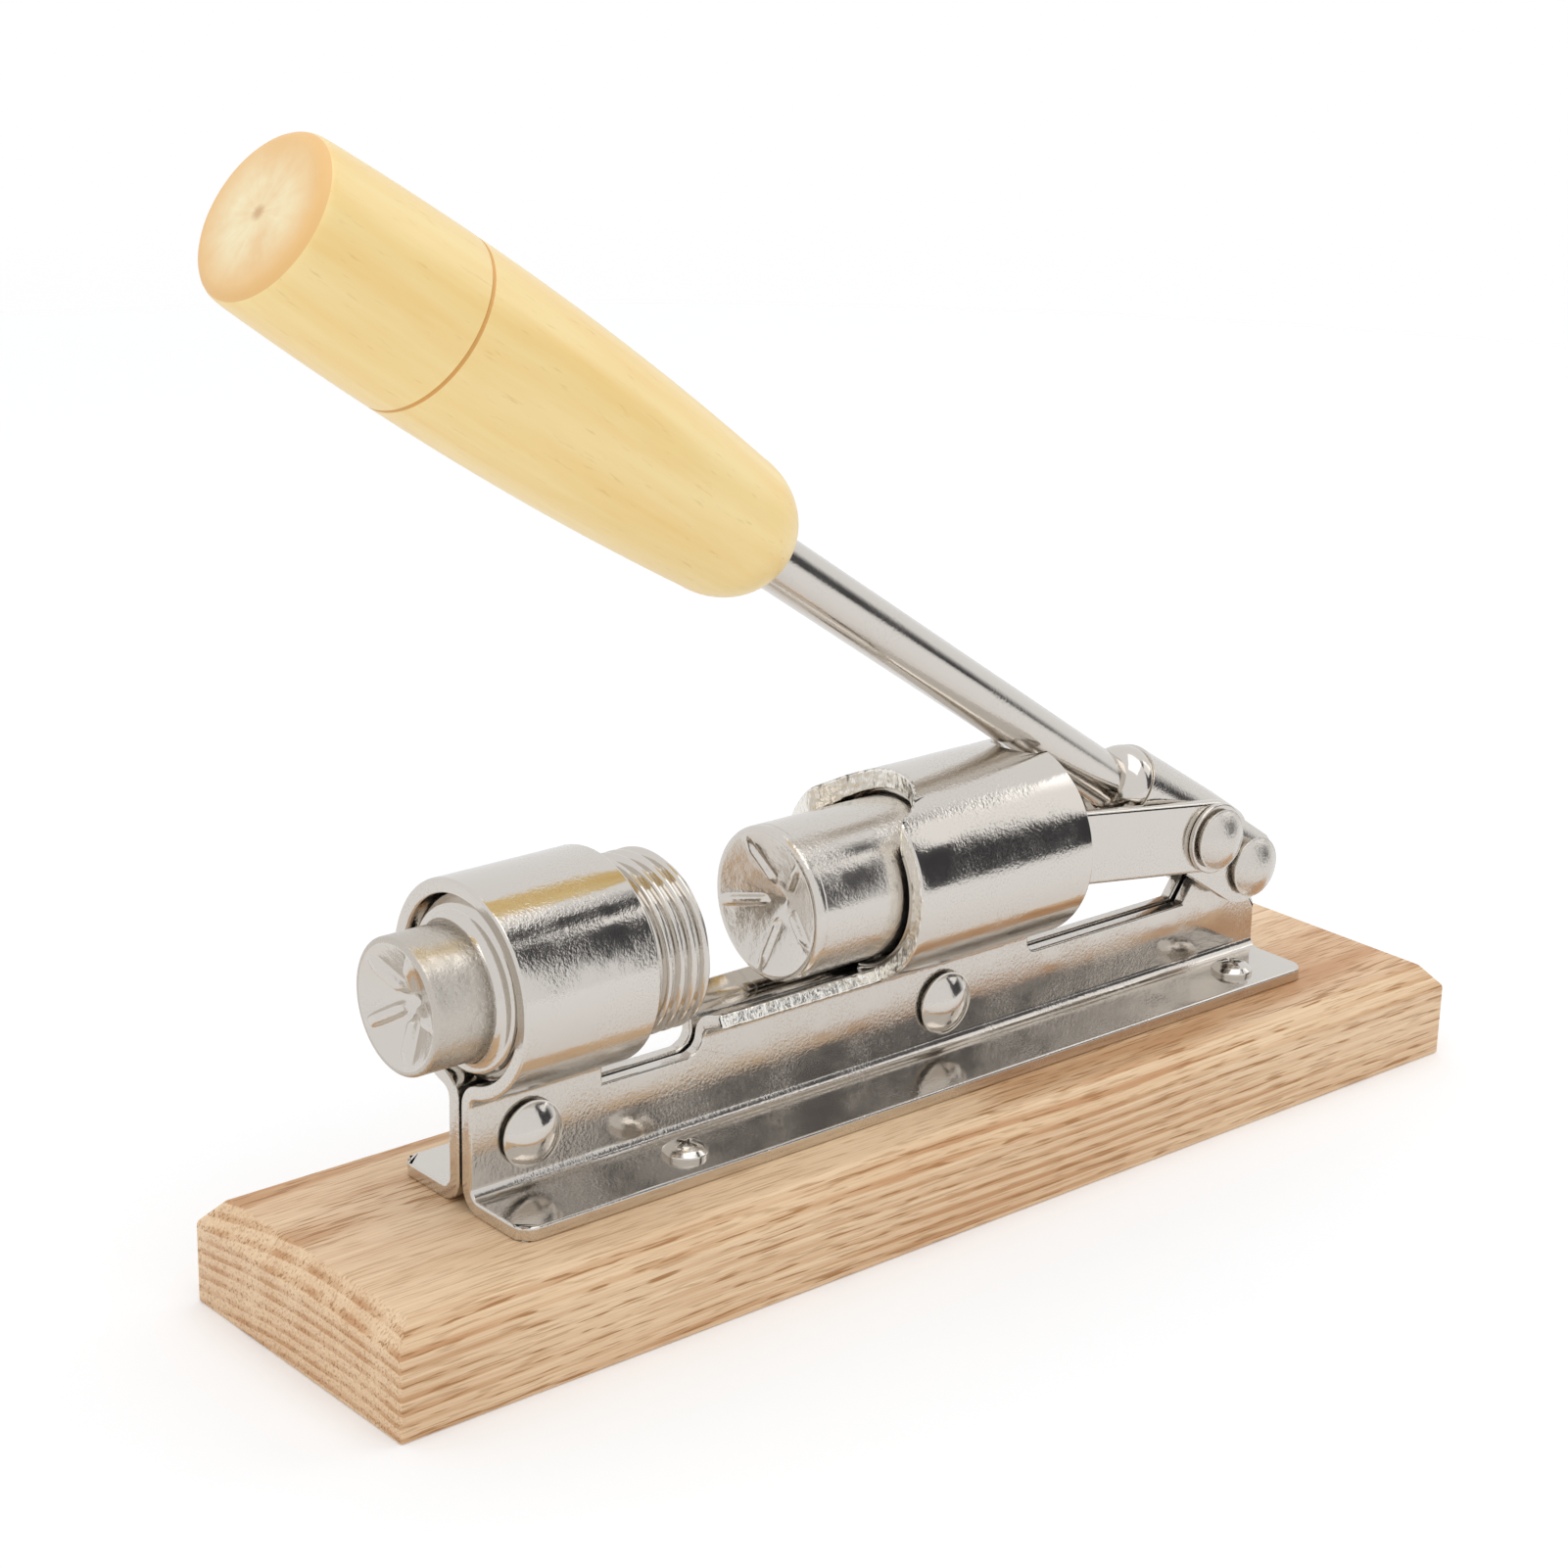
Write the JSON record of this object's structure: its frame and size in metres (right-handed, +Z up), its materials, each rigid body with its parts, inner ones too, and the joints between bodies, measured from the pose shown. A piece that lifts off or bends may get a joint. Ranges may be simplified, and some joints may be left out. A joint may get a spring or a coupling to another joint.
{
  "type": "desktop nutcracker",
  "caption": "Desktop nutcracker: a nut is squeezed between a threaded anvil and a ram that a long hand lever drives through two links, all on a bent sheet frame and a board.",
  "frame": {"origin": "centre of the base board's underside", "axes": "+X along the board from the anvil to the lever pivot, +Y to the far side, +Z up"},
  "size_m": [0.2575, 0.06, 0.1946],
  "materials": {
    "oak": "satin",
    "varnished_wood": "gloss",
    "nickel_plate": "polished",
    "satin_nickel": "satin",
    "fasteners": "polished"
  },
  "bodies": {
    "base": {"base_board": "oak", "frame": "nickel_plate", "frame_rivet_front": "fasteners", "frame_rivet_rear": "fasteners", "screw_near_front": "fasteners", "screw_near_rear": "fasteners", "screw_far_front": "fasteners", "screw_far_rear": "fasteners", "pivot_rivet": "fasteners", "pivot_spacer_near": "nickel_plate", "pivot_spacer_far": "nickel_plate"},
    "anvil": {"anvil": "satin_nickel"},
    "ram": {"ram": "satin_nickel", "ram_pin": "nickel_plate"},
    "lever": {"lever_yoke": "nickel_plate", "rod_collar": "nickel_plate", "lever_rod": "nickel_plate", "handle_grip": "varnished_wood", "link_rivet": "fasteners", "link_washer_near": "nickel_plate", "link_washer_far": "nickel_plate"},
    "links": {"link_near": "nickel_plate", "link_far": "nickel_plate"}
  },
  "joints": [
    {"name": "anvil_screw", "type": "slide", "parent": "base", "child": "anvil", "axis": [1, 0, 0], "range_m": [-0.012, 0.008]},
    {"name": "lever_hinge", "type": "hinge", "parent": "base", "child": "lever", "pos_m": [0.0894, 0, 0.0415], "axis": [0, 1, 0], "range_deg": [0, 75]},
    {"name": "link_hinge", "type": "hinge", "parent": "lever", "child": "links", "pos_m": [0.0743, 0, 0.0513], "axis": [0, 1, 0], "range_deg": [-85, 0]},
    {"name": "ram_slide", "type": "slide", "parent": "base", "child": "ram", "axis": [1, 0, 0], "range_m": [0, 0.01926]}
  ],
  "couplings": [
    {"joint": "link_hinge", "follows": "lever_hinge", "ratio": -1.1254},
    {"joint": "ram_slide", "follows": "lever_hinge", "m_per_rad": 0.014705}
  ]
}
